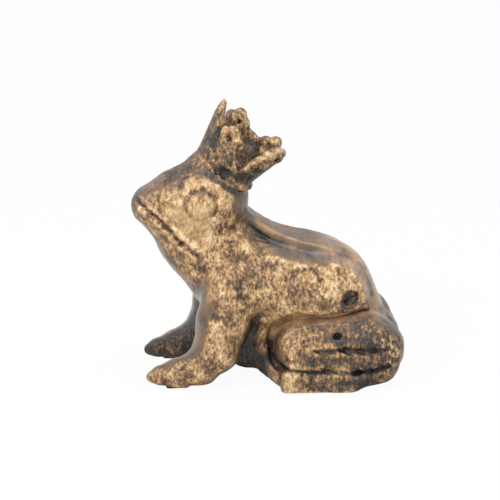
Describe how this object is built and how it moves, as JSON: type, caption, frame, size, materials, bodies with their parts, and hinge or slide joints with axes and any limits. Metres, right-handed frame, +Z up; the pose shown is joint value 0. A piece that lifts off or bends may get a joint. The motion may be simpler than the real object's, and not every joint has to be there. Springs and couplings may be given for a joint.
{
  "type": "frog figurine",
  "caption": "Sitting cast-iron frog wearing an open leaf-point crown, a shelf ornament in black paint with gold rubbed over the rough casting.",
  "frame": {"origin": "centre of the overall box on the surface that the figurine stands on", "axes": "+Z up, the frog faces -Y, its left side is +X, and the joint between the two halves is the plane X = 0"},
  "size_m": [0.0562, 0.0948, 0.0998],
  "materials": {
    "casting": "rough sand-cast iron in black paint, gold rubbed on the high spots",
    "crown_casting": "rough sand-cast iron in black paint, gold rubbed on the points and beads",
    "fastener_steel": "dark oiled steel",
    "felt": "black pressed felt"
  },
  "bodies": {
    "root": {"left_half": "casting", "right_half": "casting", "crown": "crown_casting", "tie_screw": "fastener_steel", "tie_nut": "fastener_steel", "crown_screw": "fastener_steel", "crown_washer": "fastener_steel", "pad_front_left": "felt", "pad_front_right": "felt", "pad_hind_left": "felt", "pad_hind_right": "felt"}
  },
  "joints": []
}
